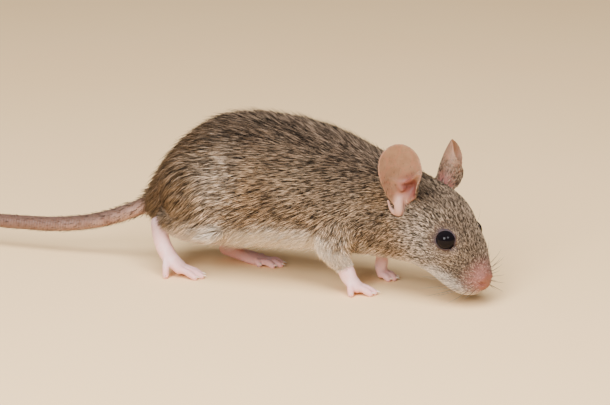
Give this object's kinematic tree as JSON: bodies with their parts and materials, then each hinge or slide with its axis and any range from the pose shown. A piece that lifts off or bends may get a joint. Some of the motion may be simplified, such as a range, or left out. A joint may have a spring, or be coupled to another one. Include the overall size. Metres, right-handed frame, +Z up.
{
  "type": "house mouse, life-size still model",
  "caption": "Life-size still model of a house mouse with a grey-brown coat, walking with its head lowered to the ground and its tail held out behind.",
  "frame": {"origin": "on the floor, under the middle of the whole model's box, tail included", "axes": "+X forward, from tail to nose; +Y to the mouse's left; +Z up"},
  "size_m": [0.1562, 0.0278, 0.0347],
  "materials": {
    "coat": "short soft fur, grey-brown with pale and dark hair tips",
    "nose_skin": "bare moist pink skin",
    "ear_skin": "thin bare pinkish skin",
    "foot_skin": "bare pale pink skin",
    "tail_skin": "finely ringed pinkish-grey skin",
    "eye": "wet black"
  },
  "bodies": {
    "root": {"trunk": "coat", "neck": "coat", "head": "coat", "thigh_right": "coat", "thigh_left": "coat", "foreleg_right": "coat", "foreleg_left": "coat", "shank_right": "coat", "shank_left": "coat", "nose": "nose_skin", "ear_right": "ear_skin", "ear_left": "ear_skin", "forepaw_right": "foot_skin", "forepaw_left": "foot_skin", "hindfoot_right": "foot_skin", "hindfoot_left": "foot_skin", "tail_1": "tail_skin", "tail_2": "tail_skin", "tail_3": "tail_skin", "tail_4": "tail_skin", "eye_right": "eye", "eye_left": "eye"}
  },
  "joints": []
}
